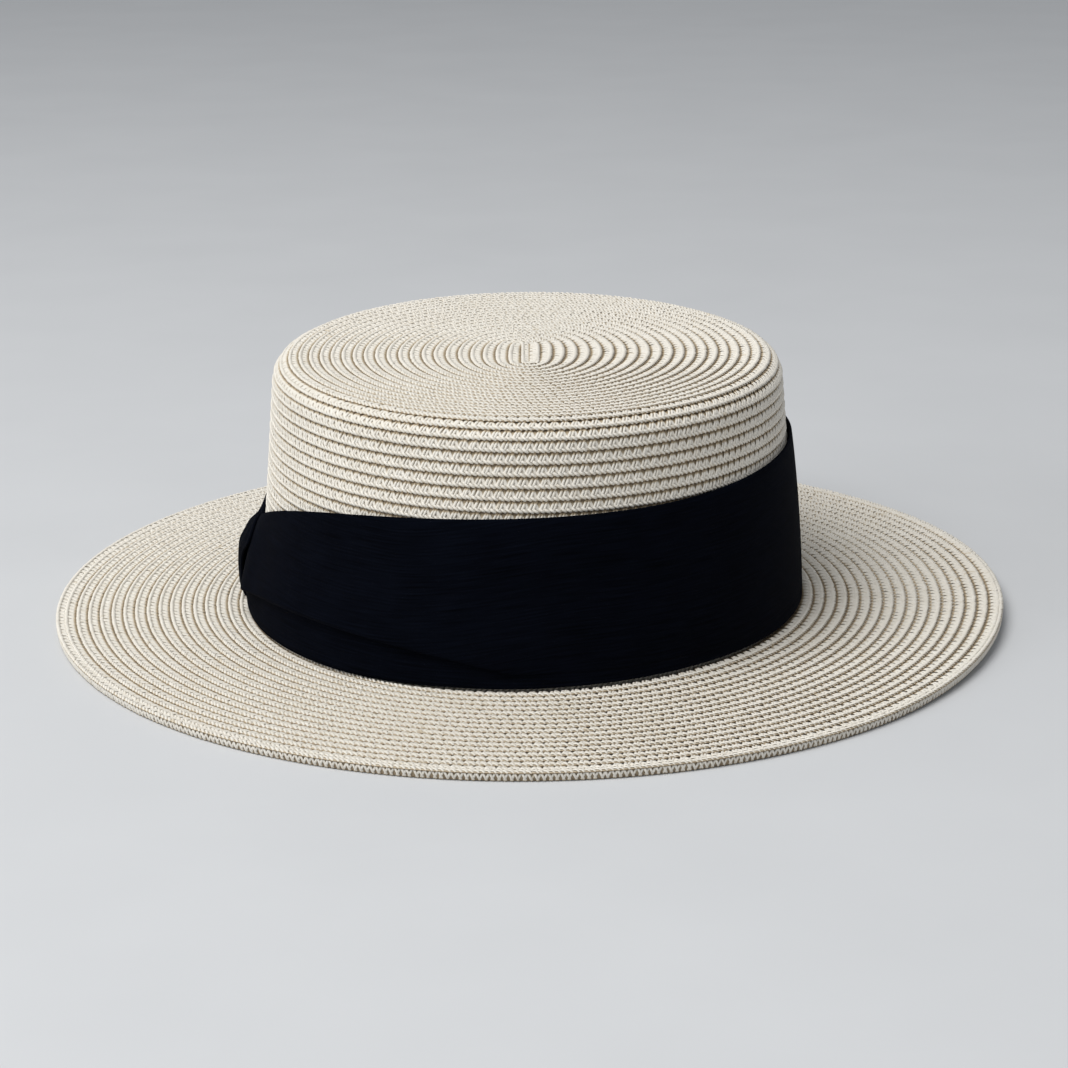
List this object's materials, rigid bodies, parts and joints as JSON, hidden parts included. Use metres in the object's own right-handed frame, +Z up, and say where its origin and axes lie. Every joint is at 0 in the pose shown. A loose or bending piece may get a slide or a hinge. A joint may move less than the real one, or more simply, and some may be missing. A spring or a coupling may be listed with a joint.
{
  "type": "straw boater hat",
  "caption": "Flat-topped straw boater of sewn braid, with a hollow oval crown, a flat brim and a wide dark cloth band gathered by a knot at one side.",
  "frame": {"origin": "on the plane that the brim's rim stands on, under the centre of the crown", "axes": "+Z up out of the crown's tip, +Y along the head's long way and away from the picture's camera, the band's knot on the -X side"},
  "size_m": [0.303, 0.327, 0.0835],
  "materials": {
    "straw_braid": "matte cream paper-straw braid, sewn in lapped rows",
    "band_cloth": "matte blue-black plain-weave cloth with slubs"
  },
  "bodies": {
    "root": {"crown": "straw_braid", "brim": "straw_braid", "hat_band": "band_cloth", "band_knot": "band_cloth"}
  },
  "joints": []
}
